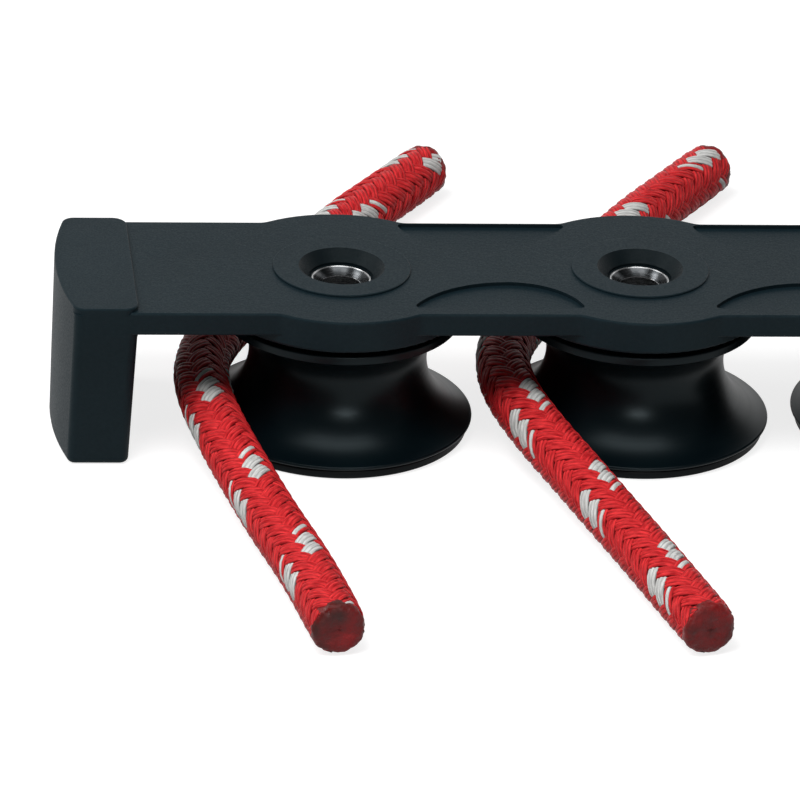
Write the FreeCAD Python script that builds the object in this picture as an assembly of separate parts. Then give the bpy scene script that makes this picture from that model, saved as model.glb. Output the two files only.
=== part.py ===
import FreeCAD, Part

import math
import os

from FreeCAD import Vector

# Deck organizer for lines: three ball-bearing sheaves side by side under one moulded frame.
# Millimetres. X runs along the row of sheaves, Y across it, Z up from the deck.
# The origin is on the deck, under the axis of the middle sheave.

# Stations
station_count = 3
pitch = 65.5
fit_clearance = 0.05

# Frame: plate
frame_height = 37.0
plate_width = 47.0
plate_thickness = 5.2
plate_edge_round = 0.5
plate_under_round = 0.5
bulge_radius = 28.0
bulge_blend = 4.0
boss_drop = 2.1
boss_round = 0.7

# Frame: raised ring and countersink round each fastener
ring_radius = 15.1
ring_height = 0.5
ring_round = 0.2
sink_mouth_radius = 9.4
sink_foot_radius = 7.0
sink_foot_depth = 0.45

# Frame: shallow pockets along both long edges, between the stations
pocket_depth = 0.8
pocket_length = 37.8
pocket_reach = 13.0
pocket_crest_shift = 3.0
pocket_corner = 1.1
front_pocket_rim = 3.6
back_pocket_rim = 0.75

# Frame: end legs and the pads over them
leg_gap = 45.7
leg_length = 16.9
leg_crown_radius = 85.0
leg_corner = 1.8
leg_inner_corner = 2.0
leg_inner_draft = 1.0
leg_side_draft = 1.5
leg_foot_round = 1.2
leg_root_round = 1.2
pad_height = 1.0
pad_inner_corner = 3.2
pad_outer_corner = 2.8
pad_edge_round = 0.4
core_wall = 3.4
core_rib = 3.0
core_roof = 5.5
core_corner = 1.0

# Base disc under each sheave
base_radius = 29.0
base_thickness = 2.0
base_edge_round = 0.5

# Hub: stainless sleeve with a countersunk mouth
bolt_bore_radius = 4.5
hub_neck_radius = 6.5
hub_rim_width = 0.3
hub_journal_radius = 7.0
hub_shoulder_radius = 9.6
hub_shoulder_thickness = 1.5

# Ball bearing
ball_radius = 3.0
ball_count = 12
ball_spacing_gap = 0.11
ball_running_gap = 0.15
ball_row_inset = 5.1
race_land_drop = 1.2

# Sheave
sheave_radius = 30.0
sheave_bottom_gap = 0.4
sheave_top_gap = 1.5
rim_thickness = 0.9
waist_radius = 19.5
waist_rise = 14.5
lip_radius = 26.5
lip_thickness = 1.9
lip_round = 0.45

# Lines: each bend takes this share of the shorter of the two runs that it joins
line_diameter = 12.4
bend_share = 0.45

# Heights that follow from the sizes above
plate_under = frame_height - plate_thickness
plate_middle = frame_height - plate_thickness / 2
boss_under = plate_under - boss_drop
ring_top = frame_height + ring_height
neck_top = ring_top - (sink_mouth_radius - sink_foot_radius) - sink_foot_depth
shoulder_under = boss_under - hub_shoulder_thickness
race_split = (base_thickness + shoulder_under) / 2
lower_row_height = base_thickness + ball_row_inset
upper_row_height = shoulder_under - ball_row_inset
sheave_bottom = base_thickness + sheave_bottom_gap
sheave_top = boss_under - sheave_top_gap
pad_seat = frame_height - plate_edge_round

# The balls nearly touch one another round a circle; the grooves stand clear of them on both sides.
ball_circle = (2 * ball_radius + ball_spacing_gap) / (2 * math.sin(math.pi / ball_count))
groove_radius = ball_radius + ball_running_gap
groove_half_height = math.sqrt(groove_radius**2 - race_land_drop**2)
race_land_radius = ball_circle - race_land_drop
bore_land_radius = ball_circle + race_land_drop

station_x = [(i - (station_count - 1) / 2) * pitch for i in range(station_count)]
half_width = plate_width / 2
leg_inner_x = station_x[-1] + leg_gap
leg_outer_x = leg_inner_x + leg_length
plate_reach = leg_inner_x + leg_corner

# Routes of the two lines, front end first: along the deck, up onto the lower flange of a sheave
# round its left side, and down to the deck again behind it.
line_routes = {
    "line_1": [
        (-73.7, -112.0, 6.2),
        (-76.1, -97.0, 6.2),
        (-79.3, -80.5, 6.3),
        (-83.7, -64.0, 6.9),
        (-88.0, -45.7, 7.9),
        (-92.1, -27.1, 9.0),
        (-95.1, -9.6, 10.1),
        (-95.6, 6.0, 10.4),
        (-93.1, 21.0, 9.9),
        (-87.3, 36.4, 8.9),
        (-78.5, 53.4, 7.8),
        (-68.1, 70.1, 7.0),
        (-56.5, 87.6, 6.5),
        (-45.0, 104.0, 6.2),
        (-34.6, 119.5, 6.2),
    ],
    "line_2": [
        (4.6, -112.0, 6.2),
        (-0.1, -95.5, 6.2),
        (-5.2, -77.5, 6.4),
        (-10.9, -60.0, 7.1),
        (-16.9, -41.8, 8.0),
        (-23.4, -24.3, 9.5),
        (-28.6, -7.6, 10.9),
        (-30.0, 8.7, 10.8),
        (-26.9, 24.8, 9.9),
        (-20.5, 40.2, 8.8),
        (-11.5, 56.2, 7.8),
        (-1.2, 72.4, 7.0),
        (9.9, 89.1, 6.5),
        (21.3, 105.5, 6.2),
        (31.6, 120.5, 6.2),
    ],
}

ORIGIN = Vector(0, 0, 0)
UP = Vector(0, 0, 1)
FULL_TURN = 360
TOLERANCE = 1e-3


# Helpers for edges, profiles and turned shapes


def line(a, b):
    return Part.makeLine(a, b)


def arc(a, through, b):
    return Part.Arc(a, through, b).toShape()


def edges_where(shape, test):
    return [e for e in shape.Edges if test(e)]


def is_level(edge, height):
    return all(abs(p.z - height) < TOLERANCE for p in edge.discretize(5))


def level_edges(shape, height):
    """The edges that lie level at a height."""
    return edges_where(shape, lambda e: is_level(e, height))


def upright(edge):
    """True for a straight edge that runs more up and down than sideways."""
    if edge.Curve.TypeId != "Part::GeomLine":
        return False
    run = edge.Curve.Direction
    return abs(run.z) > abs(run.x) + abs(run.y)


def turned(shape, angle):
    return shape.rotated(ORIGIN, UP, angle)


def opposite(shape):
    """The same shape at the other end of the frame."""
    return turned(shape, FULL_TURN / 2)


def at_stations(shape):
    """Copies of a shape made on the Z axis, one at each station."""
    return [shape.translated(Vector(x, 0, 0)) for x in station_x]


def on_axis_plane(radius, height):
    return Vector(radius, 0, height)


def chain(points):
    """Straight profile edges from one (radius, height) to the next."""
    places = [on_axis_plane(*p) for p in points]
    return [line(a, b) for a, b in zip(places, places[1:])]


def flare(waist, edge_point):
    """A profile arc that leaves the waist straight up or down and curves outwards to a point."""
    out = edge_point.x - waist.x
    rise = edge_point.z - waist.z
    radius = (out * out + rise * rise) / (2 * out)
    half_turn = math.asin(abs(rise) / radius) / 2
    middle = on_axis_plane(
        waist.x + radius * (1 - math.cos(half_turn)),
        waist.z + math.copysign(radius * math.sin(half_turn), rise),
    )
    return arc(waist, middle, edge_point)


def revolved(edges):
    """A solid turned about Z from a closed profile in the XZ plane."""
    face = Part.Face(Part.Wire(Part.__sortEdges__(edges)))
    return face.revolve(ORIGIN, UP, FULL_TURN)


# Frame


def plate():
    """The long plate with a round bulge at each station and softly rounded edges."""
    strip = Part.makeBox(
        2 * plate_reach,
        plate_width,
        plate_thickness,
        Vector(-plate_reach, -half_width, plate_under),
    )
    disc = Part.makeCylinder(bulge_radius, plate_thickness, Vector(0, 0, plate_under))
    body = strip.multiFuse(at_stations(disc)).removeSplitter()

    def away_from_ends(edge):
        return abs(edge.CenterOfMass.x) < plate_reach - TOLERANCE

    body = body.makeFillet(bulge_blend, edges_where(body, lambda e: upright(e) and away_from_ends(e)))
    for height, radius in ((frame_height, plate_edge_round), (plate_under, plate_under_round)):
        body = body.makeFillet(radius, [e for e in level_edges(body, height) if away_from_ends(e)])
    return body


def d_outline(inner, outer, half, crown, corners, height):
    """A D-shaped wire at a height: straight towards the sheaves, gently crowned outwards.

    corners gives the radius of the two inner corners and that of the two outer ones.
    """
    sag = crown - math.sqrt(crown * crown - half * half)
    a = Vector(inner, -half, height)
    b = Vector(outer - sag, -half, height)
    c = Vector(outer - sag, half, height)
    d = Vector(inner, half, height)
    top = Vector(outer, 0, height)
    sharp = Part.Face(Part.Wire([line(a, b), arc(b, top, c), line(c, d), line(d, a)]))
    block = sharp.extrude(UP)
    inner_edges = edges_where(block, lambda e: upright(e) and e.CenterOfMass.x < inner + TOLERANCE)
    outer_edges = edges_where(block, lambda e: upright(e) and e.CenterOfMass.x > inner + TOLERANCE)
    block = block.makeFillet(corners[0], inner_edges).makeFillet(corners[1], outer_edges)
    bottom = [f for f in block.Faces if f.BoundBox.ZMax < height + TOLERANCE]
    return bottom[0].OuterWire


def leg():
    """The leg at the +X end, drafted towards the deck."""
    corners = (leg_inner_corner, leg_corner)
    foot = d_outline(
        leg_inner_x + leg_inner_draft,
        leg_outer_x,
        half_width - leg_side_draft,
        leg_crown_radius,
        corners,
        0,
    )
    head = d_outline(leg_inner_x, leg_outer_x, half_width, leg_crown_radius, corners, plate_under)
    drafted = Part.makeLoft([foot, head], True, True)
    drafted = drafted.makeFillet(leg_foot_round, level_edges(drafted, 0))
    return drafted.fuse(Part.Face(head).extrude(UP * (pad_seat - plate_under)))


def leg_root():
    """The small fillet along the inner corner between the leg and the underside of the plate."""
    bite = leg_inner_draft / 2
    mid_arc = leg_root_round * (1 - math.sqrt(0.5))
    y = -half_width + leg_inner_corner
    plate_side = Vector(leg_inner_x - leg_root_round, y, plate_under)
    leg_side = Vector(leg_inner_x, y, plate_under - leg_root_round)
    middle = Vector(leg_inner_x - mid_arc, y, plate_under - mid_arc)
    in_leg = Vector(leg_inner_x + bite, y, leg_side.z)
    in_both = Vector(leg_inner_x + bite, y, plate_under + bite)
    in_plate = Vector(plate_side.x, y, plate_under + bite)
    section = [arc(plate_side, middle, leg_side)]
    for a, b in ((leg_side, in_leg), (in_leg, in_both), (in_both, in_plate), (in_plate, plate_side)):
        section.append(line(a, b))
    return Part.Face(Part.Wire(section)).extrude(Vector(0, -2 * y, 0))


def pad():
    """The raised end pad, level with the sides of the leg that carries it."""
    corners = (pad_inner_corner, pad_outer_corner)
    outline = d_outline(leg_inner_x, leg_outer_x, half_width, leg_crown_radius, corners, pad_seat)
    rise = plate_edge_round + pad_height
    block = Part.Face(outline).extrude(UP * rise)
    return block.makeFillet(pad_edge_round, level_edges(block, pad_seat + rise))


def leg_cores():
    """The two hollows that open at the foot of a leg, one each side of the rib."""
    depth = frame_height - core_roof
    outline = d_outline(
        leg_inner_x + leg_inner_draft + core_wall,
        leg_outer_x - core_wall,
        half_width - leg_side_draft - core_wall,
        leg_crown_radius - core_wall,
        (core_corner, core_corner),
        0,
    )
    hollow = Part.Face(outline).extrude(UP * depth)
    rib = Part.makeBox(
        leg_length,
        core_rib,
        depth,
        Vector(leg_inner_x + leg_inner_draft, -core_rib / 2, 0),
    )
    halves = hollow.cut(rib)

    def beside_rib(edge):
        return upright(edge) and abs(abs(edge.CenterOfMass.y) - core_rib / 2) < TOLERANCE

    return halves.makeFillet(core_corner, edges_where(halves, beside_rib))


def crest_arc(crest, end):
    """An arc that leaves a crest along X and curves towards +Y to an end point."""
    run = end.x - crest.x
    reach = end.y - crest.y
    radius = (run * run + reach * reach) / (2 * reach)
    half_turn = math.atan(reach / run)
    along = radius * math.sin(half_turn)
    middle = crest + Vector(along, radius * (1 - math.cos(half_turn)), 0)
    return arc(crest, middle, end)


def pocket(rim):
    """A lens-shaped shallow pocket behind a rim at the +Y edge of the plate, made about the Z axis.

    Its crest lies off the middle, so the arc on one side of the crest is flatter than the other.
    """
    floor = frame_height - pocket_depth
    chord_y = half_width - rim
    crest = Vector(-pocket_crest_shift, chord_y - pocket_reach, floor)
    a = Vector(-pocket_length / 2, chord_y, floor)
    b = Vector(pocket_length / 2, chord_y, floor)
    outline = Part.__sortEdges__([crest_arc(crest, b), line(b, a), crest_arc(crest, a)])
    lens = Part.Face(Part.Wire(outline)).extrude(UP * 2 * pocket_depth)
    tips = edges_where(lens, lambda e: upright(e) and e.CenterOfMass.y > chord_y - TOLERANCE)
    return lens.makeFillet(pocket_corner, tips)


def pockets():
    """Two pockets halfway between each two stations, one along each long edge of the plate."""
    halfway = [(a + b) / 2 for a, b in zip(station_x, station_x[1:])]
    pair = [pocket(back_pocket_rim), opposite(pocket(front_pocket_rim))]
    return [p.translated(Vector(x, 0, 0)) for x in halfway for p in pair]


def boss():
    """The round boss under the plate that comes down close over a sheave."""
    body = Part.makeCylinder(bulge_radius, plate_middle - boss_under, Vector(0, 0, boss_under))
    return body.makeFillet(boss_round, level_edges(body, boss_under))


def raised_ring():
    """The low round land on top of the plate that surrounds a fastener."""
    body = Part.makeCylinder(ring_radius, ring_top - plate_middle, Vector(0, 0, plate_middle))
    return body.makeFillet(ring_round, level_edges(body, ring_top))


def sink():
    """The right-angled countersink, its short straight foot, and the bore below for the hub's neck."""
    foot_top = neck_top + sink_foot_depth
    cone = Part.makeCone(
        sink_foot_radius, sink_mouth_radius, ring_top - foot_top, Vector(0, 0, foot_top)
    )
    foot = Part.makeCylinder(sink_foot_radius, sink_foot_depth, Vector(0, 0, neck_top))
    bore = Part.makeCylinder(
        hub_neck_radius + fit_clearance, neck_top - boss_under, Vector(0, 0, boss_under)
    )
    return cone.multiFuse([foot, bore])


def frame():
    """The one-piece moulding: plate, bosses, rings, and a cored leg with its pad at each end."""
    end = [leg(), leg_root(), pad()]
    ends = end + [opposite(s) for s in end]
    body = plate().multiFuse(ends + at_stations(boss()) + at_stations(raised_ring()))
    cores = leg_cores()
    cuts = [cores, opposite(cores)] + at_stations(sink()) + pockets()
    return body.cut(Part.makeCompound(cuts))


# Pieces of one station, made on the Z axis


def base_disc():
    """The fixed disc between the deck and a sheave; the lower race stands on it."""
    body = Part.makeCylinder(base_radius, base_thickness)
    body = body.makeFillet(base_edge_round, level_edges(body, 0) + level_edges(body, base_thickness))
    return body.cut(Part.makeCylinder(hub_journal_radius + fit_clearance, base_thickness))


def hub():
    """The stainless sleeve: countersunk mouth, neck in the frame, shoulder under the boss, journal."""
    mouth_radius = hub_neck_radius - hub_rim_width
    mouth_depth = mouth_radius - bolt_bore_radius
    outline = [
        (bolt_bore_radius, 0),
        (hub_journal_radius, 0),
        (hub_journal_radius, shoulder_under),
        (hub_shoulder_radius, shoulder_under),
        (hub_shoulder_radius, boss_under),
        (hub_neck_radius, boss_under),
        (hub_neck_radius, neck_top),
        (mouth_radius, neck_top),
        (bolt_bore_radius, neck_top - mouth_depth),
        (bolt_bore_radius, 0),
    ]
    return revolved(chain(outline))


def ball_groove(land_radius, bottom_radius, row_height):
    """The profile arc of a ball groove, cut from a land at one radius down to another."""
    return arc(
        on_axis_plane(land_radius, row_height + groove_half_height),
        on_axis_plane(bottom_radius, row_height),
        on_axis_plane(land_radius, row_height - groove_half_height),
    )


def race(bottom, top, row_height):
    """An inner race half with the groove for its row of balls."""
    inner = hub_journal_radius + fit_clearance
    edges = [ball_groove(race_land_radius, ball_circle - groove_radius, row_height)]
    edges += chain(
        [
            (race_land_radius, row_height - groove_half_height),
            (race_land_radius, bottom),
            (inner, bottom),
            (inner, top),
            (race_land_radius, top),
            (race_land_radius, row_height + groove_half_height),
        ]
    )
    return revolved(edges)


def ball_row(row_height):
    """A full row of balls round the race, as separate solids."""
    ball = Part.makeSphere(ball_radius, Vector(ball_circle, 0, row_height))
    return Part.makeCompound([turned(ball, i * FULL_TURN / ball_count) for i in range(ball_count)])


def sheave():
    """The spool-shaped sheave: wide lower flange, deep groove, upper lip, two ball grooves inside."""
    rim_round = rim_thickness / 2
    rim_inner = sheave_radius - rim_round
    rim_under = on_axis_plane(rim_inner, sheave_bottom)
    rim_outermost = on_axis_plane(sheave_radius, sheave_bottom + rim_round)
    rim_top = on_axis_plane(rim_inner, sheave_bottom + rim_thickness)
    waist = on_axis_plane(waist_radius, sheave_bottom + waist_rise)
    lip_under = on_axis_plane(lip_radius, sheave_top - lip_thickness)

    edges = [arc(rim_under, rim_outermost, rim_top), flare(waist, rim_top), flare(waist, lip_under)]
    edges += chain(
        [
            (lip_radius, lip_under.z),
            (lip_radius, sheave_top),
            (bore_land_radius, sheave_top),
            (bore_land_radius, upper_row_height + groove_half_height),
        ]
    )
    edges += chain(
        [
            (bore_land_radius, upper_row_height - groove_half_height),
            (bore_land_radius, lower_row_height + groove_half_height),
        ]
    )
    edges += chain(
        [
            (bore_land_radius, lower_row_height - groove_half_height),
            (bore_land_radius, sheave_bottom),
            (rim_inner, sheave_bottom),
        ]
    )
    for row_height in (lower_row_height, upper_row_height):
        edges.append(ball_groove(bore_land_radius, ball_circle + groove_radius, row_height))
    body = revolved(edges)
    lip_edge = [e for e in level_edges(body, sheave_top) if e.BoundBox.XMax > lip_radius - TOLERANCE]
    return body.makeFillet(lip_round, lip_edge)


# Lines


def line_tube(name, points):
    """A plain round tube along straight runs joined by arcs as large as the runs allow."""
    places = [Vector(*p) for p in points]
    edges = []
    radii = []
    start = places[0]
    for before, corner, after in zip(places, places[1:], places[2:]):
        into = corner - before
        out = after - corner
        cut_back = bend_share * min(into.Length, out.Length)
        into.normalize()
        out.normalize()
        half_turn = into.getAngle(out) / 2
        radius = cut_back / math.tan(half_turn)
        towards_centre = out - into
        towards_centre.normalize()
        middle = corner + towards_centre * (radius / math.cos(half_turn) - radius)
        arc_start = corner - into * cut_back
        arc_end = corner + out * cut_back
        edges.append(line(start, arc_start))
        edges.append(arc(arc_start, middle, arc_end))
        radii.append(radius)
        start = arc_end
    edges.append(line(start, places[-1]))
    path = Part.Wire(edges)
    section = Part.Wire(Part.makeCircle(line_diameter / 2, places[0], places[1] - places[0]))
    tube = path.makePipeShell([section], True, False)
    expected = math.pi * (line_diameter / 2) ** 2 * path.Length
    print(
        f"{name}: length {path.Length:.1f}, radii {min(radii):.0f} to {max(radii):.0f}, "
        f"volume {tube.Volume:.0f} against {expected:.0f}"
    )
    return tube


# All pieces, by name

pieces = {"frame": frame()}

station_pieces = {
    "base_disc": base_disc(),
    "hub": hub(),
    "lower_race": race(base_thickness, race_split, lower_row_height),
    "upper_race": race(race_split, shoulder_under, upper_row_height),
    "lower_balls": ball_row(lower_row_height),
    "upper_balls": ball_row(upper_row_height),
    "sheave": sheave(),
}

for name, shape in station_pieces.items():
    for number, copy in enumerate(at_stations(shape), start=1):
        pieces[f"{name}_{number}"] = copy

for name, points in line_routes.items():
    pieces[name] = line_tube(name, points)

os.makedirs("parts", exist_ok=True)
for name, shape in pieces.items():
    shape.exportStep(f"parts/{name}.step")
    box = shape.BoundBox
    print(
        f"{name}: {len(shape.Solids)} solid(s), valid {shape.isValid()}, volume {shape.Volume:.0f}, "
        f"box {box.XLength:.1f} x {box.YLength:.1f} x {box.ZLength:.1f}, z {box.ZMin:.2f} to {box.ZMax:.2f}"
    )
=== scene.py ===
# %% [markdown]
# # A deck organizer and the two lines laid in it
# The real object is a row of three ball-bearing sheaves under one moulded nylon frame, screwed to a deck.
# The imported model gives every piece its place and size. This lesson gives each piece its finish, plaits the
# lines strand by strand, and lights the row on a pale floor. It begins by loading the model.

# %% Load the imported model
import math

import bpy
import numpy as np
from mathutils import Matrix, Vector


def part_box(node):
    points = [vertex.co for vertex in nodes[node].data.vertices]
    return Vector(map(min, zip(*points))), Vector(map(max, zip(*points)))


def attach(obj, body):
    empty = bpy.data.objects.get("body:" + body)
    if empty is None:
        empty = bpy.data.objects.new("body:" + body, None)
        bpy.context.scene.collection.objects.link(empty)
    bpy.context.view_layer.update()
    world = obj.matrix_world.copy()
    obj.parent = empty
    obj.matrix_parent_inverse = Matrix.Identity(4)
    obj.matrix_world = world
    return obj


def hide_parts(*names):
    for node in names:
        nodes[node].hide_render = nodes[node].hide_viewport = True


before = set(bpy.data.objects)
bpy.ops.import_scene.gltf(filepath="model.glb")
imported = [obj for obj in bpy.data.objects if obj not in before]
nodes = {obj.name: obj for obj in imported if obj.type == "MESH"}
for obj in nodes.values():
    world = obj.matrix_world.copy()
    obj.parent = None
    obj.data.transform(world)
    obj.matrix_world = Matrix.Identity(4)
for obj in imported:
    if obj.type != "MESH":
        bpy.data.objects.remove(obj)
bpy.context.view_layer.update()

# %% [markdown]
# ## Camera
# The picture was taken with a long lens from the front, 26 degrees above the deck and a little to the left.
# A camera could be turned by hand until it looks right. Here its axes are built from measured angles, so
# the same numbers always give the same view. A millimetre at the target covers 4.555 pixels of the picture,
# which is 800 pixels wide.

# %% Camera from measured angles
view_azimuth = math.radians(6.253)
view_elevation = math.radians(26.0)
view_roll = math.radians(2.893)
view_distance = 2.1167
view_target = Vector((-0.05126, 0.0, 0.00497))
picture_pixels = 800
pixels_per_metre = 4555.0

forward = Vector((
    math.sin(view_azimuth) * math.cos(view_elevation),
    math.cos(view_azimuth) * math.cos(view_elevation),
    -math.sin(view_elevation),
))
level = Vector((math.cos(view_azimuth), -math.sin(view_azimuth), 0.0))
lifted = level.cross(forward)
picture_right = math.cos(view_roll) * level + math.sin(view_roll) * lifted
picture_up = math.cos(view_roll) * lifted - math.sin(view_roll) * level

lens = bpy.data.cameras.new("long_lens")
lens.sensor_width = 36.0
lens.lens = lens.sensor_width * pixels_per_metre * view_distance / picture_pixels
lens.clip_start = 0.1
lens.clip_end = 50.0
camera = bpy.data.objects.new("camera", lens)
bpy.context.scene.collection.objects.link(camera)
camera.matrix_world = Matrix.Translation(view_target - forward * view_distance) @ Matrix(
    (picture_right, picture_up, -forward)
).transposed().to_4x4()
bpy.context.scene.camera = camera
bpy.context.scene.view_settings.view_transform = "Standard"
print(f"lens {lens.lens:.1f} mm at {view_distance:.2f} m")

# %% [markdown]
# ## Routes of the lines
# Each line comes along the deck, climbs onto the lower flange of a sheave, bends round its left side and
# drops to the deck again behind it. A line under light tension has no corners, so its middle is a smooth
# NURBS curve. The points below are the curve's control points, front end first, and the curve cuts gently
# inside them. Beside and behind the sheaves they lie a little closer in than the model's own tubes, because
# the real lines hug their sheaves there.

line_routes = {
    "line_1": [
        (-0.0737, -0.1120, 0.0062),
        (-0.0761, -0.0970, 0.0062),
        (-0.0793, -0.0805, 0.0063),
        (-0.0837, -0.0640, 0.0069),
        (-0.0880, -0.0457, 0.0079),
        (-0.0921, -0.0271, 0.0090),
        (-0.0951, -0.0096, 0.0101),
        (-0.0952, 0.0060, 0.0106),
        (-0.0908, 0.0210, 0.0102),
        (-0.0838, 0.0364, 0.0092),
        (-0.0752, 0.0534, 0.0079),
        (-0.0661, 0.0701, 0.0070),
        (-0.0565, 0.0876, 0.0065),
        (-0.0450, 0.1040, 0.0062),
        (-0.0346, 0.1195, 0.0062),
    ],
    "line_2": [
        (0.0046, -0.1120, 0.0062),
        (-0.0001, -0.0955, 0.0062),
        (-0.0052, -0.0775, 0.0064),
        (-0.0109, -0.0600, 0.0071),
        (-0.0169, -0.0418, 0.0080),
        (-0.0234, -0.0243, 0.0095),
        (-0.0283, -0.0076, 0.0111),
        (-0.0286, 0.0087, 0.0113),
        (-0.0237, 0.0248, 0.0104),
        (-0.0162, 0.0402, 0.0091),
        (-0.0079, 0.0562, 0.0079),
        (0.0008, 0.0724, 0.0070),
        (0.0099, 0.0891, 0.0065),
        (0.0213, 0.1055, 0.0062),
        (0.0316, 0.1205, 0.0062),
    ],
}

# %% A smooth curve from route points, read back as close points
def smooth_line(name, points):
    """Points close together along the NURBS curve that has these control points."""
    curve = bpy.data.curves.new(f"{name}_route", "CURVE")
    curve.dimensions = "3D"
    curve.resolution_u = 40
    spline = curve.splines.new("NURBS")
    spline.points.add(len(points) - 1)
    for point, place in zip(spline.points, points):
        point.co = (*place, 1.0)
    spline.order_u = 3
    spline.use_endpoint_u = True
    holder = bpy.data.objects.new(f"{name}_route", curve)
    mesh = bpy.data.meshes.new_from_object(holder)
    places = np.array([v.co for v in mesh.vertices])
    bpy.data.objects.remove(holder)
    bpy.data.curves.remove(curve)
    bpy.data.meshes.remove(mesh)
    return places


class Route:
    """A line's middle, with an upward and a sideways direction at every distance from its front end."""

    def __init__(self, places):
        self.places = places
        steps = np.linalg.norm(np.diff(places, axis=0), axis=1)
        self.distances = np.concatenate([[0.0], np.cumsum(steps)])
        self.length = float(self.distances[-1])
        along = np.gradient(places, self.distances, axis=0)
        self.along = along / np.linalg.norm(along, axis=1)[:, None]
        up = np.array([0.0, 0.0, 1.0])
        upward = up - (self.along @ up)[:, None] * self.along
        self.upward = upward / np.linalg.norm(upward, axis=1)[:, None]
        self.sideways = np.cross(self.along, self.upward)

    def _at(self, values, distance):
        """Values kept for each place, read at any distance."""
        return np.stack([np.interp(distance, self.distances, values[:, k]) for k in range(3)], axis=-1)

    def point(self, distance, angle, radius):
        """The point at a distance along, an angle from straight up and a radius from the middle."""
        out = np.cos(angle)[..., None] * self._at(self.upward, distance)
        out = out + np.sin(angle)[..., None] * self._at(self.sideways, distance)
        return self._at(self.places, distance) + np.asarray(radius)[..., None] * out


routes = {name: Route(smooth_line(name, points)) for name, points in line_routes.items()}
for name, route in routes.items():
    print(f"{name}: {1000 * route.length:.1f} mm along the middle, {len(route.places)} points")

# %% [markdown]
# ## Materials: small helpers
# Every finish here is one Principled shader fed by a few procedural nodes. The helpers keep those node
# trees short to read. The first makes a material and sets the values that are the same all over. The
# others add a node, make noise stretched along a direction, spread or fade a value, mix or darken a
# colour, and turn a height into a bump.

# %% A finish and its nodes
def new_finish(name, **inputs):
    """A material with one Principled shader and these values on its own sockets."""
    material = bpy.data.materials.new(name)
    material.use_nodes = True
    shader = material.node_tree.nodes["Principled BSDF"]
    for socket, value in inputs.items():
        shader.inputs[socket.replace("_", " ")].default_value = value
    return material, material.node_tree, shader


def add_node(tree, kind, inputs=None, **settings):
    """A node with these settings; each input is a plain value or another node's output."""
    node = tree.nodes.new(kind)
    for name, value in settings.items():
        setattr(node, name, value)
    for socket, value in (inputs or {}).items():
        if isinstance(value, bpy.types.NodeSocket):
            tree.links.new(value, node.inputs[socket])
        else:
            node.inputs[socket].default_value = value
    return node


# %% Noise, ranges and sums
def stretched_noise(tree, coordinates, scale, detail=3.0, stretch=(1.0, 1.0, 1.0)):
    """Noise whose grain is drawn out along the axes with a small stretch value."""
    mapping = add_node(tree, "ShaderNodeMapping", {"Vector": coordinates, "Scale": stretch})
    noise = add_node(
        tree, "ShaderNodeTexNoise", {"Vector": mapping.outputs["Vector"], "Scale": scale, "Detail": detail}
    )
    return noise.outputs["Fac"]


noise_low = 0.3
noise_high = 0.7


def remap(tree, value, low, high):
    """The middle of a noise's range, spread from low to high."""
    spread = {"From Min": noise_low, "From Max": noise_high, "To Min": low, "To Max": high}
    return add_node(tree, "ShaderNodeMapRange", {"Value": value, **spread}).outputs["Result"]


def combine(tree, operation, *values):
    """The result of a Math node; each value is a number or another node's output."""
    return add_node(tree, "ShaderNodeMath", dict(enumerate(values)), operation=operation).outputs[0]


def fade(tree, value, start, end, low=0.0, high=1.0):
    """Low up to start, high from end on, and a smooth change between them."""
    node = add_node(
        tree,
        "ShaderNodeMapRange",
        {"Value": value, "From Min": start, "From Max": end, "To Min": low, "To Max": high},
        interpolation_type="SMOOTHSTEP",
    )
    return node.outputs["Result"]


# %% Colours and bumps
def blend_colours(tree, factor, first, second):
    """A mix of two colours; each is three numbers or another node's output."""
    node = add_node(tree, "ShaderNodeMix", data_type="RGBA")
    tree.links.new(factor, node.inputs["Factor"])
    for socket, colour in ((node.inputs[6], first), (node.inputs[7], second)):
        if isinstance(colour, bpy.types.NodeSocket):
            tree.links.new(colour, socket)
        else:
            socket.default_value = (*colour, 1.0)
    return node.outputs[2]


def darkened(tree, colour, share):
    """The colour times a share: 1 leaves it as it is, 0 makes it black."""
    return add_node(tree, "ShaderNodeVectorMath", {0: colour, "Scale": share}, operation="SCALE").outputs[0]


def bump(tree, height, distance, strength=1.0, below=None):
    """The normal of a surface raised by a height, on top of the bump below where there is one."""
    inputs = {"Height": height, "Distance": distance, "Strength": strength}
    if below is not None:
        inputs["Normal"] = below
    return add_node(tree, "ShaderNodeBump", inputs).outputs["Normal"]


# %% [markdown]
# ## Yarn of the lines
# The cover is plaited from filament polyester: straight, silky fibres that lie side by side in each yarn.
# A picture of cloth would repeat and blur. Instead every strand carries its own coordinates, first along
# the strand and then across it, counted in yarns. Noise stretched along the first draws fibres and light
# and dark streaks that follow the plait; the lightest, pinkish streaks of the red yarn are partly a painted
# sheen. The second tells where two yarns meet and where the strand's edge dives under, and there the
# colour is darker, a painted shade, as little light comes back out of such narrow gaps. The inner cover,
# which shows in the gaps, and the melted ends get coarser finishes of their own.

# %% Shade between yarns
# Two neighbouring strands lie strand_gap apart in the coordinates across, so no two show the same fibres.
# A valley's shade starts where its wave, a cosine, falls below valley_start. The edge's shade starts at
# edge_start of the strand's width from its middle.
yarns_in_strand = 3
strand_gap = 20.0
valley_start = -0.3
valley_shade = 0.28
edge_start = 0.36
edge_shade = 0.50


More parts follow.
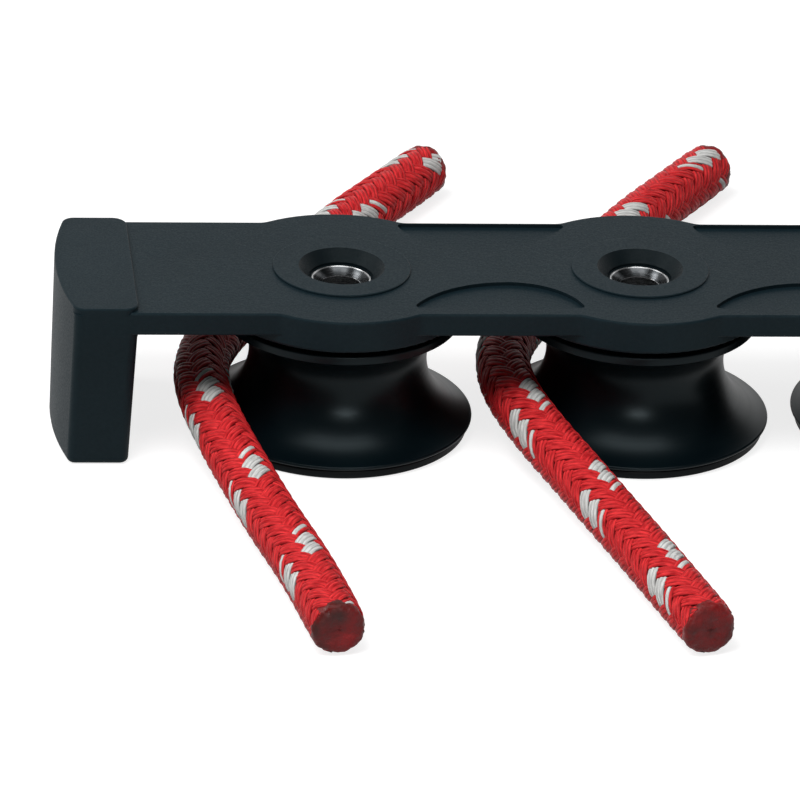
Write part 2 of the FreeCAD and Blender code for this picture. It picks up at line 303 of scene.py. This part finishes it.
def light_between_yarns(tree, coordinates):
    """1 on top of a yarn, less in the valley between two yarns, least where the strand's edge dives."""
    stored = add_node(tree, "ShaderNodeSeparateXYZ", {"Vector": coordinates}).outputs["Y"]
    across = combine(tree, "WRAP", stored, -strand_gap / 2, strand_gap / 2)
    wave = combine(tree, "COSINE", combine(tree, "MULTIPLY", across, 2 * math.pi))
    valley = fade(tree, wave, valley_start, -1.0)
    from_middle = combine(tree, "ABSOLUTE", across)
    edge = fade(tree, from_middle, edge_start * yarns_in_strand, 0.5 * yarns_in_strand)
    light = combine(tree, "SUBTRACT", 1.0, combine(tree, "MULTIPLY", valley, valley_shade))
    return combine(tree, "SUBTRACT", light, combine(tree, "MULTIPLY", edge, edge_shade))


# %% Yarn finish
def yarn_finish(name, dark, light, roughness):
    """Silky yarn with streaks between two colours, partly a painted sheen, shade painted between yarns and a
    bump of fine fibres.
    """
    material, tree, shader = new_finish(name, Roughness=roughness, Specular_IOR_Level=0.06)
    coordinates = add_node(tree, "ShaderNodeUVMap", uv_map="along_strand").outputs["UV"]
    fibres = stretched_noise(tree, coordinates, 9.0, 2.0, stretch=(0.05, 1.0, 1.0))
    streaks_and_painted_sheen = stretched_noise(tree, coordinates, 2.2, 3.0, stretch=(0.18, 1.0, 1.0))
    colour = blend_colours(tree, remap(tree, streaks_and_painted_sheen, 0.0, 1.0), dark, light)
    shaded = darkened(tree, colour, light_between_yarns(tree, coordinates))
    tree.links.new(shaded, shader.inputs["Base Color"])
    tree.links.new(bump(tree, fibres, 0.00010), shader.inputs["Normal"])
    return material


# The red yarn's lightest, pinkish streaks are partly a painted sheen and partly the yarn's own uneven tone.
red_yarn = yarn_finish("red_yarn", (0.36, 0.008, 0.012), (0.88, 0.048, 0.052), 0.36)
white_yarn = yarn_finish("white_yarn", (0.48, 0.48, 0.47), (0.78, 0.78, 0.76), 0.40)
print("nodes in each yarn's finish:", len(red_yarn.node_tree.nodes))

# %% Finish of the inner cover and of the sealed ends
# The inner cover is coloured much darker than the yarn, a painted shade for the deep gaps between strands.
inner_cover_painted_shade, tree, shader = new_finish("inner_cover_painted_shade", Roughness=0.8, Specular_IOR_Level=0.2)
coordinates = add_node(tree, "ShaderNodeTexCoord").outputs["Object"]
weave = stretched_noise(tree, coordinates, 900.0)
tree.links.new(
    blend_colours(tree, remap(tree, weave, 0.0, 1.0), (0.10, 0.003, 0.005), (0.20, 0.006, 0.01)),
    shader.inputs["Base Color"],
)
tree.links.new(bump(tree, weave, 0.0002), shader.inputs["Normal"])

melted_yarn, tree, shader = new_finish("melted_yarn", Roughness=0.35, Specular_IOR_Level=0.3)
coordinates = add_node(tree, "ShaderNodeTexCoord").outputs["Object"]
blisters = stretched_noise(tree, coordinates, 420.0, 4.0)
scorch = stretched_noise(tree, coordinates, 160.0)
tree.links.new(
    blend_colours(tree, remap(tree, scorch, 0.0, 1.0), (0.06, 0.010, 0.008), (0.30, 0.010, 0.012)),
    shader.inputs["Base Color"],
)
tree.links.new(remap(tree, blisters, 0.25, 0.55), shader.inputs["Roughness"])
tree.links.new(bump(tree, blisters, 0.0007), shader.inputs["Normal"])

cover_finishes = (red_yarn, white_yarn, inner_cover_painted_shade, melted_yarn)
RED, WHITE, INNER, MELTED = range(len(cover_finishes))
print("finishes of a line:", [finish.name for finish in cover_finishes])

# %% [markdown]
# ## Plait of the lines
# The cover has sixteen strands, eight wound each way, and each passes over two and under two. That gives
# eight upright columns round the line, four where one set of strands shows and four where the other does.
# A bump texture on a tube would look flat at the edge of the line, so each strand is real geometry. It is
# a closed ribbon of three yarns that rises where its column lies on top and dives where the other set
# crosses.

# %% Sizes of the plait
strands_each_way = 8
strand_spread = 2 * math.pi / strands_each_way
middle_radius = 0.00524
rise = 0.00036
strand_half_thickness = 0.00038
yarn_swell = 0.00021
strand_fill = 1.03
ring_step = 0.00095
melted_length = 0.0012
drawn_in_share = 0.10
drawn_in_length = 0.0022

# The lay is one full turn of a strand. Angles are in degrees from straight up: where a column is, where
# the white strands start, and how far the whole cover is twisted in a metre. The strand with a single
# white yarn lies on one side of the two white strands or on the other.
plaits = {
    "line_1": {"lay": 0.03467, "column": -72.2, "tracer": 68.0, "twist": -236.0, "single": 7},
    "line_2": {"lay": 0.03651, "column": -68.5, "tracer": 109.0, "twist": -31.0, "single": 2},
}
white_strands = (0, 1)


def column_height(angle):
    """1 in the middle of a column where one set of strands shows, -1 where the other set covers it."""
    wave = np.cos(strands_each_way / 2 * angle)
    return wave * (1.5 - 0.5 * wave * wave)


print(f"a strand turns once in {1000 * plaits['line_1']['lay']:.1f} mm of line_1")

# %% Outline across one strand
steps_per_yarn = 4
underside_depth = 0.7 * strand_half_thickness
underside_places = (0.3, 0.0, -0.3)
no_yarn = -1


def strand_outline(width):
    """Points across a strand as (sideways, height), and the yarn that the surface after each belongs to."""
    yarn = width / yarns_in_strand
    outline = []
    owners = []
    for number in range(yarns_in_strand):
        middle = (number + 0.5) * yarn - width / 2
        for step in range(steps_per_yarn):
            turn = math.pi * step / steps_per_yarn
            sideways = middle - yarn / 2 * math.cos(turn)
            crown = math.sqrt(max(0.0, 1 - (2 * sideways / width) ** 2))
            outline.append((sideways, strand_half_thickness * crown + yarn_swell * math.sin(turn)))
            owners.append(number)
    outline.append((width / 2, 0.0))
    outline.extend((share * width, -underside_depth) for share in underside_places)
    owners.extend([no_yarn] * (len(outline) - len(owners)))
    return np.array(outline), np.array(owners)


# %% Surface between rings
def skin(rings, count, first=0):
    """The quads that join each ring of points to the next one."""
    ring = np.arange(rings - 1)[:, None] * count
    here = np.arange(count)[None, :]
    a = first + ring + here
    b = first + ring + (here + 1) % count
    return np.stack([a, b, b + count, a + count], axis=-1).reshape(-1, 4)


# %% All strands of one line
middle_yarn = yarns_in_strand // 2
way_offset = 10


def strands(route, plait):
    """The strands' points, faces, finish numbers and coordinates along and across each strand."""
    turn_rate = 2 * math.pi / plait["lay"]
    column = math.radians(plait["column"])
    twist = math.radians(plait["twist"])
    slope = math.atan(turn_rate * (middle_radius + rise))
    width = strand_fill * strand_spread * (middle_radius + rise) * math.cos(slope)
    outline, owners = strand_outline(width)
    across, height = outline.T
    rings = int(route.length / ring_step) + 1
    last = route.length - melted_length
    distance = np.linspace(melted_length, last, rings)[:, None]
    to_end = np.minimum(distance, route.length - distance)
    drawn_in = 1 - drawn_in_share * np.exp(-to_end / drawn_in_length)

    first_up = math.radians(plait["tracer"]) - strand_spread / 2
    first_down = 2 * (column - strand_spread / 4) - first_up
    points, faces, finishes, coordinates = [], [], [], []
    for way, start in ((1, first_up), (-1, first_down)):
        for number in range(strands_each_way):
            angle = start + number * strand_spread + way * turn_rate * distance
            middle = middle_radius + way * rise * column_height(angle - column)
            place = np.clip(distance - way * across * math.sin(slope), melted_length, last)
            turned = angle + across * math.cos(slope) / middle + twist * distance
            ring_points = route.point(place, turned, (middle + height) * drawn_in)
            first = len(points) * rings * len(outline)
            points.append(ring_points.reshape(-1, 3))
            faces.append(skin(rings, len(outline), first))
            colours = np.full(len(outline), RED)
            if way > 0 and number in white_strands:
                colours[:] = WHITE
            if way > 0 and number == plait["single"]:
                colours[owners == middle_yarn] = WHITE
            finishes.append(np.tile(colours, rings - 1))
            along = 1000 * distance / math.cos(slope)
            beside = yarns_in_strand * across / width + strand_gap * (number + way_offset * way)
            pairs = np.stack(np.broadcast_arrays(along, beside), axis=-1)
            coordinates.append(pairs.reshape(-1, 2))
    return (
        np.concatenate(points),
        np.concatenate(faces),
        np.concatenate(finishes),
        np.concatenate(coordinates),
    )


# %% [markdown]
# ## Inner cover and sealed ends
# In a real line an inner cover shows between the strands, and a hot knife has melted the yarns of each end
# into a dark, lumpy skin. Without the inner cover, light would fall through the gaps of the plait, so a
# plain tube runs inside the strands. It is coloured much darker than the yarn, a painted shade for the deep
# gaps. A flat disc would close an end too, but it would look sawn off. So the skin is a rounded cap, whose
# radius and depth wander in a few waves.

# %% Inner cover
inner_radius = 0.00485
inner_sides = 24
inner_step = 0.002
inner_set_back = 0.0005


def inner_tube(route):
    """A plain tube under the strands that closes the small gaps between them."""
    rings = int(route.length / inner_step) + 1
    around = np.linspace(0.0, 2 * math.pi, inner_sides, endpoint=False)[None, :]
    distance = np.linspace(inner_set_back, route.length - inner_set_back, rings)[:, None]
    distance, around = np.broadcast_arrays(distance, around)
    points = route.point(distance, around, np.full(around.shape, inner_radius))
    return points.reshape(-1, 3), skin(rings, inner_sides)


# %% Sealed ends
sealed_sides = 48
sealed_set_back = 0.00012
lump_height = 0.00012

# Each wave in the skin has its share of the radius, its number round the line, its rate inward, its start.
skin_waves = [(0.022, 3, 900, 0.0), (0.018, 7, -2100, 1.3), (0.014, 16, 500, 0.0)]

# The melted skin's distance in from the end and its radius, from the side of the line to its middle.
sealed_profile = [
    (0.0036, 0.00500),
    (0.0030, 0.00558),
    (0.0023, 0.00574),
    (0.0017, 0.00578),
    (0.0012, 0.00574),
    (0.0007, 0.00556),
    (0.0004, 0.00520),
    (0.0002, 0.00460),
    (0.0001, 0.00380),
    (0.0001, 0.00290),
    (0.0002, 0.00200),
    (0.0003, 0.00110),
    (0.0003, 0.00002),
]


def sealed_end(route, front):
    """The melted skin over one end of a line, slightly uneven."""
    around = np.linspace(0.0, 2 * math.pi, sealed_sides, endpoint=False)[None, :]
    inward, radius = np.array(sealed_profile).T[:, :, None]
    uneven = 1.0
    for share, waves_round, rate_inward, start in skin_waves:
        uneven = uneven + share * np.sin(waves_round * around + rate_inward * inward + start)
    lumps = np.sin(5 * around + 1600 * radius) * np.sin(2 * around + 1100 * radius + 0.7)
    inward = inward + lump_height * lumps + sealed_set_back
    distance = inward if front else route.length - inward
    distance, around = np.broadcast_arrays(distance, around)
    points = route.point(distance, around, radius * uneven)
    faces = skin(len(sealed_profile), sealed_sides)
    if front:
        faces = faces[:, ::-1]
    return points.reshape(-1, 3), faces


# %% One object for a whole line
def plaited_line(name):
    """The strands, the tube under them and both ends in one mesh."""
    route = routes[name]
    points, faces, finishes, coordinates = strands(route, plaits[name])
    extras = (
        (inner_tube(route), INNER),
        (sealed_end(route, True), MELTED),
        (sealed_end(route, False), MELTED),
    )
    for (more_points, more_faces), finish in extras:
        faces = np.concatenate([faces, more_faces + len(points)])
        points = np.concatenate([points, more_points])
        finishes = np.concatenate([finishes, np.full(len(more_faces), finish)])
        coordinates = np.concatenate([coordinates, np.zeros((len(more_points), 2))])
    mesh = bpy.data.meshes.new(name)
    mesh.from_pydata(points, [], faces.tolist())
    mesh.shade_smooth()
    mesh.polygons.foreach_set("material_index", finishes.astype(np.int32))
    corners = np.zeros(len(mesh.loops), np.int32)
    mesh.loops.foreach_get("vertex_index", corners)
    mesh.uv_layers.new(name="along_strand").uv.foreach_set("vector", coordinates[corners].ravel())
    for finish in cover_finishes:
        mesh.materials.append(finish)
    line = bpy.data.objects.new(f"{name}_plait", mesh)
    bpy.context.scene.collection.objects.link(line)
    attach(line, "base")
    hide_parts(name)
    print(f"{name}: {len(faces)} faces")


for name in line_routes:
    plaited_line(name)

# %% [markdown]
# ## Turned pieces
# The sheaves, hubs and base discs were turned on a lathe, so each is a profile spun round its axis.
# Spinning a profile here gives even rows of faces, and gloss runs over them without the kinks that a
# solid's triangles would show. All three stations share one mesh of each piece.

# %% Stations
def middle_x(name):
    """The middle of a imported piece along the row."""
    low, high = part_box(name)
    return (low.x + high.x) / 2


station_numbers = (1, 2, 3)
station_x = [middle_x(f"hub_{number}") for number in station_numbers]
print("stations at, mm:", [round(1000 * x, 1) for x in station_x])

# %% Profiles and the lathe
def arc(centre, radius, start, end, steps):
    """Profile points along an arc, with its angles in degrees."""
    turns = np.radians(np.linspace(start, end, steps))
    return [(centre[0] + radius * math.cos(t), centre[1] + radius * math.sin(t)) for t in turns]


def turned_mesh(name, profile, finish, steps=224, crease=32):
    """A mesh spun round Z from (radius, height) in millimetres; profile runs round the section once."""
    radius, height = np.array(profile).T / 1000
    around = np.linspace(0.0, 2 * math.pi, steps, endpoint=False)[:, None]
    places = np.broadcast_arrays(radius * np.cos(around), radius * np.sin(around), height)
    points = np.stack(places, axis=-1).reshape(-1, 3)
    # The last ring of faces ends on the first ring of points.
    faces = skin(steps + 1, len(profile)) % len(points)
    mesh = bpy.data.meshes.new(name)
    mesh.from_pydata(points, [], faces.tolist())
    mesh.shade_smooth()
    mesh.set_sharp_from_angle(angle=math.radians(crease))
    mesh.materials.append(finish)
    return mesh


def place_at_stations(mesh, kind, body):
    """One object per station from the same mesh, in place of that station's model piece."""
    for number, x in zip(station_numbers, station_x):
        piece = bpy.data.objects.new(f"{kind}_{number}_turned", mesh)
        piece.location.x = x
        bpy.context.scene.collection.objects.link(piece)
        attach(piece, body.format(number))
        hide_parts(f"{kind}_{number}")
    print(f"{kind}: {len(mesh.polygons)} faces each")


# %% [markdown]
# ## Sheaves
# Each sheave is one turned piece of black acetal: a wide lower flange, a waist that the line bends round, a
# narrower lip on top, and a bore with a groove for each row of balls. The waist's hollow is two arcs that
# meet where it is narrowest. A glossy finish of one value would look like glass, so very fine lathe lines,
# which run round the axis, spread the highlight a little.

# %% Gloss of the sheaves
polished_acetal, tree, shader = new_finish(
    "polished_acetal", Roughness=0.32, Specular_IOR_Level=0.2, Specular_Tint=(0.78, 0.95, 1.0, 1.0)
)
coordinates = add_node(tree, "ShaderNodeTexCoord").outputs["Object"]
cloud = stretched_noise(tree, coordinates, 60.0)
tree.links.new(
    blend_colours(tree, remap(tree, cloud, 0.0, 1.0), (0.0008, 0.0030, 0.0044), (0.0016, 0.0046, 0.0062)),
    shader.inputs["Base Color"],
)
lathe_lines = stretched_noise(tree, coordinates, 1800.0, 2.0, stretch=(0.01, 0.01, 1.0))
tree.links.new(remap(tree, lathe_lines, 0.30, 0.34), shader.inputs["Roughness"])
tree.links.new(bump(tree, lathe_lines, 0.000001), shader.inputs["Normal"])
print("sheave finish:", polished_acetal.name)

# %% Sheave profile, in millimetres
flange_radius = 30.0
lip_radius = 26.5
edge_round = 0.45
sheave_foot = 2.4
sheave_top = 28.2
waist_radius = 19.5
waist_height = 16.9
lower_curve = 14.233
upper_curve = 9.814
flange_angle = 252.9
lip_angle = 106.7
lip_underside = 26.32
lip_bevel = 0.08
bore_radius = 13.003
bore_bevel_radius = 13.2
bore_bevel_height = 0.2
ball_circle = 11.803
ball_groove = 3.15
lower_row = 7.1
upper_row = 23.1


def bore_groove(row):
    """The groove that a row of balls runs in, cut into the bore, from the top of the groove down."""
    reach = math.degrees(math.acos((bore_radius - ball_circle) / ball_groove))
    return arc((ball_circle, row), ball_groove, reach, -reach, steps=14)


sheave_profile = (
    arc((flange_radius - edge_round, sheave_foot + edge_round), edge_round, -90, 90, steps=12)
    + arc((waist_radius + lower_curve, waist_height), lower_curve, flange_angle, 180, steps=44)
    + arc((waist_radius + upper_curve, waist_height), upper_curve, 180, lip_angle, steps=36)[1:]
    + [(lip_radius - lip_bevel, lip_underside - lip_bevel), (lip_radius, lip_underside)]
    + arc((lip_radius - edge_round, sheave_top - edge_round), edge_round, 0, 90, steps=8)
    + [(bore_bevel_radius, sheave_top), (bore_radius, sheave_top - bore_bevel_height)]
    + bore_groove(upper_row)
    + bore_groove(lower_row)
    + [(bore_radius, sheave_foot + bore_bevel_height), (bore_bevel_radius, sheave_foot)]
)
sheave_mesh = turned_mesh("sheave", sheave_profile[::-1], polished_acetal)
place_at_stations(sheave_mesh, "sheave", "sheave_{}")

# %% [markdown]
# ## Steel hubs
# A stainless sleeve carries the clamping load of each screw down to the deck. Its rim and bore are turned
# bright and show fine rings, and the bore is painted a little darker than the rim, as shade. Its mouth,
# where screw heads sit, is painted very dark, a painted shade for the dim hollow, with uneven stains in it.
# The rings are noise that is even round the axis and quick along the section, and the stains are plain
# noise. Two finishes on separate faces would meet in a hard seam. Here one finish holds both, and the
# distance from the axis tells which of them a place on the steel shows.

# %% Turned steel
def round_the_axis(tree):
    """Coordinates (distance from the piece's axis, height), which don't change round the axis."""
    place = add_node(tree, "ShaderNodeTexCoord").outputs["Object"]
    flat = add_node(tree, "ShaderNodeVectorMath", {0: place, 1: (1.0, 1.0, 0.0)}, operation="MULTIPLY")
    reach = add_node(tree, "ShaderNodeVectorMath", {0: flat.outputs[0]}, operation="LENGTH")
    height = add_node(tree, "ShaderNodeSeparateXYZ", {"Vector": place}).outputs["Z"]
    joined = add_node(tree, "ShaderNodeCombineXYZ", {"X": reach.outputs["Value"], "Y": height})
    return joined.outputs["Vector"]


# The bore gets a little less than the full bright colour, a painted shade in the bore, and the mouth's very
# dark colour is painted shade for the dim hollow, with uneven stains in it.
bore_end = 0.00455
mouth_end = 0.0059
rim_start = 0.0062
bore_brightness = 0.8
turned_steel, tree, shader = new_finish("turned_steel", Metallic=1.0, Roughness=0.22)
reach_and_height = round_the_axis(tree)
rings = stretched_noise(tree, reach_and_height, 5200.0, 3.0)
place = add_node(tree, "ShaderNodeTexCoord").outputs["Object"]
stains = stretched_noise(tree, place, 420.0, 3.0)
reach = add_node(tree, "ShaderNodeSeparateXYZ", {"Vector": reach_and_height}).outputs["X"]
on_rim = fade(tree, reach, mouth_end, rim_start)
in_bore = combine(tree, "LESS_THAN", reach, bore_end)
polished = combine(tree, "MAXIMUM", on_rim, combine(tree, "MULTIPLY", in_bore, bore_brightness))
mouth_in_painted_shade = blend_colours(tree, remap(tree, stains, 0.0, 1.0), (0.02, 0.024, 0.026), (0.10, 0.105, 0.11))
bright = blend_colours(tree, remap(tree, rings, 0.0, 1.0), (0.66, 0.67, 0.68), (0.80, 0.81, 0.82))
tree.links.new(blend_colours(tree, polished, mouth_in_painted_shade, bright), shader.inputs["Base Color"])
tree.links.new(remap(tree, rings, 0.16, 0.34), shader.inputs["Roughness"])
tree.links.new(bump(tree, rings, 0.000012), shader.inputs["Normal"])
print(f"steel: bright up to {1000 * bore_end:.2f} mm from the axis and from {1000 * rim_start:.1f} mm on")

# %% Hub profile, in millimetres
# From the foot of the bore up the outside of the sleeve, round the shoulder, and down the mouth.
hub_top = 1000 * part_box("hub_1")[1].z
hub_profile = [
    (4.5, 0.3), (4.8, 0.0), (6.8, 0.0), (7.0, 0.2), (7.0, 28.05), (7.15, 28.2), (9.4, 28.2), (9.6, 28.4),
    (9.6, 29.5), (9.4, 29.7), (6.5, 29.7), (6.5, hub_top - 0.08), (6.42, hub_top), (6.2, hub_top),
    (6.1, hub_top - 0.07), (4.6, hub_top - 1.58), (4.5, hub_top - 1.75),
]
hub_mesh = turned_mesh("hub", hub_profile, turned_steel, steps=128, crease=25)
place_at_stations(hub_mesh, "hub", "base")

# %% [markdown]
# ## Base discs, races and balls
# These pieces lie under and inside the sheaves. The base discs and races are acetal with a plain turned
# skin, and the balls are polished white acetal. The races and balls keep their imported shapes, because those
# are already exact, and only get their finish.

# %% Acetal for discs and races
roughness_spread = 0.06


def turned_acetal(name, dark, light, roughness):
    """Acetal with fine rings round the axis between two colours."""
    material, tree, shader = new_finish(name, Roughness=roughness, Specular_IOR_Level=0.12)
    rings = stretched_noise(tree, round_the_axis(tree), 3600.0, 2.0)
    colour = blend_colours(tree, remap(tree, rings, 0.0, 1.0), dark, light)
    tree.links.new(colour, shader.inputs["Base Color"])
    dullness = remap(tree, rings, roughness - roughness_spread, roughness + roughness_spread)
    tree.links.new(dullness, shader.inputs["Roughness"])
    tree.links.new(bump(tree, rings, 0.00001), shader.inputs["Normal"])
    return material


disc_acetal = turned_acetal("disc_acetal", (0.002, 0.005, 0.006), (0.004, 0.007, 0.009), 0.42)
race_acetal = turned_acetal("race_acetal", (0.014, 0.016, 0.018), (0.024, 0.026, 0.029), 0.38)
ball_acetal, tree, shader = new_finish("ball_acetal", Roughness=0.16, Specular_IOR_Level=0.5)
place = add_node(tree, "ShaderNodeTexCoord").outputs["Object"]
tint = stretched_noise(tree, place, 500.0, 4.0)
tree.links.new(
    blend_colours(tree, remap(tree, tint, 0.0, 1.0), (0.66, 0.65, 0.60), (0.76, 0.75, 0.71)),
    shader.inputs["Base Color"],
)
tree.links.new(remap(tree, tint, 0.12, 0.24), shader.inputs["Roughness"])
print("acetal finishes:", [finish.name for finish in (disc_acetal, race_acetal, ball_acetal)])

# %% Base disc, in millimetres
disc_radius = 29.0
disc_bore = 7.05
disc_height = 2.0
disc_round = 0.5
disc_profile = (
    [(disc_bore, 0.0)]
    + arc((disc_radius - disc_round, disc_round), disc_round, -90, 0, steps=8)
    + arc((disc_radius - disc_round, disc_height - disc_round), disc_round, 0, 90, steps=8)
    + [(disc_bore, disc_height)]
)
disc_mesh = turned_mesh("base_disc", disc_profile, disc_acetal)
place_at_stations(disc_mesh, "base_disc", "base")

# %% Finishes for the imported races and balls
def give_finish(node, finish):
    """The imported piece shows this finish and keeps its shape."""
    node.data.materials.clear()
    node.data.materials.append(finish)


bearing_pieces = {
    f"{row}_{kind}_{number}": finish
    for number in station_numbers
    for row in ("lower", "upper")
    for kind, finish in (("race", race_acetal), ("balls", ball_acetal))
}
for name, finish in bearing_pieces.items():
    give_finish(nodes[name], finish)
print("packed pieces with new finishes:", len(bearing_pieces))

# %% [markdown]
# ## Moulded frame
# The frame is glass-filled nylon, moulded black with a blue-green cast. Its skin has a fine grain that
# scatters light, with a slow unevenness under it from the flow of the melt. The lands round the fasteners
# and the end pads were left smooth in the tool, and the countersinks are smooth too. Their colour is
# painted darker, as shade in the hollow. Noises in the piece's own coordinates give the grain, and plain
# distances mark off the smooth parts and the painted shade, so nothing slides when the view turns.

# %% Smooth places on the frame
station_pitch = station_x[2] - station_x[1]
smooth_radius = 0.0151
cone_radius = 0.0094
painted_cone_shade = 0.60
pad_start = 0.1105
print(f"smooth within {1000 * smooth_radius:.1f} mm of each axis, {1000 * station_pitch:.1f} mm apart")


def from_nearest_axis(tree, axes):
    """The distance from the axis of the nearest station."""
    half_pitch = station_pitch / 2
    beside = combine(tree, "WRAP", axes.outputs["X"], -half_pitch, half_pitch)
    flat = add_node(tree, "ShaderNodeCombineXYZ", {"X": beside, "Y": axes.outputs["Y"]})
    return add_node(tree, "ShaderNodeVectorMath", {0: flat.outputs[0]}, operation="LENGTH").outputs["Value"]


# %% Moulded nylon
moulded_nylon, tree, shader = new_finish(
    "moulded_nylon", Roughness=0.5, Specular_IOR_Level=0.15, Specular_Tint=(0.85, 0.98, 1.0, 1.0)
)
place = add_node(tree, "ShaderNodeTexCoord").outputs["Object"]
axes = add_node(tree, "ShaderNodeSeparateXYZ", {"Vector": place})
reach = from_nearest_axis(tree, axes)
before_pad = combine(tree, "LESS_THAN", combine(tree, "ABSOLUTE", axes.outputs["X"]), pad_start)
textured = combine(tree, "MULTIPLY", combine(tree, "GREATER_THAN", reach, smooth_radius), before_pad)
grain = stretched_noise(tree, place, 2600.0, 4.0)
flow = stretched_noise(tree, place, 45.0, 2.0)
speck = stretched_noise(tree, place, 1100.0, 2.0)
mottle = remap(tree, combine(tree, "MULTIPLY", combine(tree, "ADD", speck, flow), 0.5), 0.0, 1.0)
skin_colour = blend_colours(tree, mottle, (0.0045, 0.0118, 0.0160), (0.0072, 0.0164, 0.0216))
# In the countersinks the colour is darkened, a painted shade in the hollow.
in_cone = combine(tree, "MULTIPLY", combine(tree, "LESS_THAN", reach, cone_radius), before_pad)
shade = combine(tree, "SUBTRACT", 1.0, combine(tree, "MULTIPLY", in_cone, painted_cone_shade))
tree.links.new(darkened(tree, skin_colour, shade), shader.inputs["Base Color"])
tree.links.new(remap(tree, grain, 0.42, 0.60), shader.inputs["Roughness"])
pits = combine(tree, "MULTIPLY", speck, textured)
waves = bump(tree, flow, 0.0004, 0.3)
pitted = bump(tree, pits, 0.00005, 0.9, below=waves)
tree.links.new(bump(tree, grain, 0.00003, 0.5, below=pitted), shader.inputs["Normal"])
give_finish(nodes["frame"], moulded_nylon)
print("frame faces:", len(nodes["frame"].data.polygons))

# %% [markdown]
# ## Floor and backdrop
# The picture has a white ground. More light would burn out the pale yarns, so the floor gives off some
# light of its own, but only towards the camera and, more weakly, in reflections. It still takes the shadow
# of the object. The world is white to the camera too. In gloss it is white low down behind the object,
# where a studio has its backdrop, and dim elsewhere, which keeps the black pieces black.

# %% Pale floor
floor_glow = 0.80
floor_glow_in_gloss = 0.45
floor_half_width = 4.0
floor_height = -0.0001
floor_finish, tree, shader = new_finish("pale_floor", Roughness=0.9, Specular_IOR_Level=0.1)
place = add_node(tree, "ShaderNodeTexCoord").outputs["Object"]
mottle = stretched_noise(tree, place, 3.0)
tree.links.new(
    blend_colours(tree, remap(tree, mottle, 0.0, 1.0), (0.36, 0.36, 0.36), (0.38, 0.38, 0.38)),
    shader.inputs["Base Color"],
)


def seen_or_reflected(tree, seen, reflected):
    """One strength for the camera's own rays, one for rays in gloss and glass, and 0 for all others."""
    path = add_node(tree, "ShaderNodeLightPath")
    in_gloss = combine(tree, "MAXIMUM", path.outputs["Is Glossy Ray"], path.outputs["Is Transmission Ray"])
    return combine(
        tree,
        "MAXIMUM",
        combine(tree, "MULTIPLY", path.outputs["Is Camera Ray"], seen),
        combine(tree, "MULTIPLY", in_gloss, reflected),
    )


shader.inputs["Emission Color"].default_value = (1.0, 1.0, 1.0, 1.0)
glow = seen_or_reflected(tree, floor_glow, floor_glow_in_gloss)
tree.links.new(glow, shader.inputs["Emission Strength"])
floor_mesh = bpy.data.meshes.new("floor")
corner_signs = ((-1, -1), (1, -1), (1, 1), (-1, 1))
corners = [(x * floor_half_width, y * floor_half_width, 0.0) for x, y in corner_signs]
floor_mesh.from_pydata(corners, [], [(0, 1, 2, 3)])
floor_mesh.materials.append(floor_finish)
floor = bpy.data.objects.new("floor", floor_mesh)
floor.location.z = floor_height
bpy.context.scene.collection.objects.link(floor)
print(f"floor: {2 * floor_half_width:.0f} m wide")

# %% White world
# A direction's depth and height run from -1 to 1, and the backdrop's limits are measured in them.
room_light = 0.12
dim_side = 0.10
backdrop_full_to = 0.42
backdrop_gone_at = 0.70
backdrop_edge = 0.2
world = bpy.data.worlds.new("white_world")
bpy.context.scene.world = world
world.use_nodes = True
tree = world.node_tree
background = tree.nodes["Background"]
background.inputs["Color"].default_value = (1.0, 1.0, 1.0, 1.0)
direction = add_node(tree, "ShaderNodeTexCoord").outputs["Generated"]
axes = add_node(tree, "ShaderNodeSeparateXYZ", {"Vector": direction})
behind = fade(tree, axes.outputs["Y"], -backdrop_edge, backdrop_edge)
low = fade(tree, axes.outputs["Z"], backdrop_full_to, backdrop_gone_at, low=1.0, high=0.0)
room = combine(tree, "MAXIMUM", combine(tree, "MULTIPLY", behind, low), dim_side)
shown = seen_or_reflected(tree, 1.0, room)
tree.links.new(combine(tree, "MAXIMUM", shown, room_light), background.inputs["Strength"])
print(f"light from the world on the object: {room_light}")

# %% [markdown]
# ## Studio light
# The top of the frame is its lightest side, its left end is light too and its front walls are dark. So the
# main lamp hangs high in front and to the left, and a second one stands at the left. The main one is kept
# out of the gloss, where its reflection would be hard. A wide lamp overhead draws the soft band on the
# flanges of the sheaves instead, and a small low one, seen only in gloss, gives each waist its glint.

# %% Lamps
def soft_lamp(name, place, aim, size, power):
    """A rectangular lamp of this width and length, turned towards the aim."""
    lamp = bpy.data.lights.new(name, "AREA")
    lamp.shape = "RECTANGLE"
    lamp.size, lamp.size_y = size
    lamp.energy = power
    holder = bpy.data.objects.new(name, lamp)
    holder.location = place
    holder.rotation_mode = "QUATERNION"
    holder.rotation_quaternion = (Vector(aim) - Vector(place)).to_track_quat("-Z", "Y")
    bpy.context.scene.collection.objects.link(holder)
    return holder


middle = (-0.03, 0.0, 0.02)
key = soft_lamp("key", (-0.38, -0.38, 1.00), middle, (0.5, 0.5), 7.0)
left = soft_lamp("left", (-0.85, 0.10, 0.80), middle, (0.4, 0.5), 3.6)
overhead = soft_lamp("overhead", (-0.03, -0.42, 1.15), middle, (1.0, 0.5), 4.6)
catchlight = soft_lamp("catchlight", (0.01, -0.60, 0.18), middle, (0.20, 0.04), 0.6)
key.visible_glossy = False
catchlight.visible_diffuse = False
for lamp in (key, left, overhead, catchlight):
    print(f"{lamp.name} lamp: {lamp.data.energy:.1f} W")
